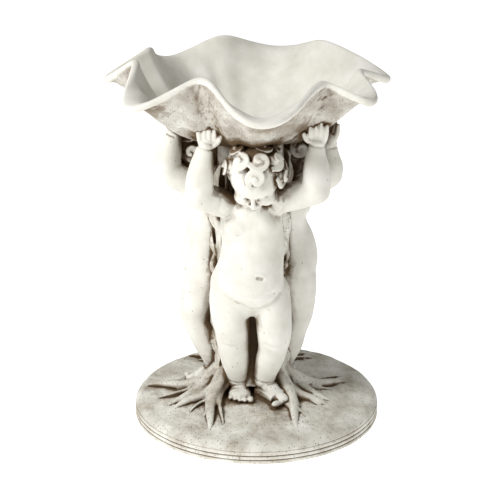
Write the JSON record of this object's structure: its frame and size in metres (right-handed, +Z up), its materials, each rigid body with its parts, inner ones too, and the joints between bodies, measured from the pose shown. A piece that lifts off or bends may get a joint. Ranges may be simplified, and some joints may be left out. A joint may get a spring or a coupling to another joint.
{
  "type": "cherub garden statue",
  "caption": "Cast-stone garden statue: cherubs stand back to back round a vine-covered trunk on a round plinth and hold up a ruffled bowl.",
  "frame": {"origin": "middle of the plinth's underside, on the ground", "axes": "+Z up, the first cherub faces -Y, +X to the right of someone who looks at it from the front"},
  "size_m": [0.4436, 0.4075, 0.6066],
  "materials": {
    "stone": "antique ivory cast stone, matt, with a brown wash left in the hollows and fine pinholes",
    "basin_stone": "the same cast stone, smooth and worn inside, rough, pitted and darker underneath"
  },
  "bodies": {
    "root": {"pedestal": "stone", "basin": "basin_stone"}
  },
  "joints": []
}
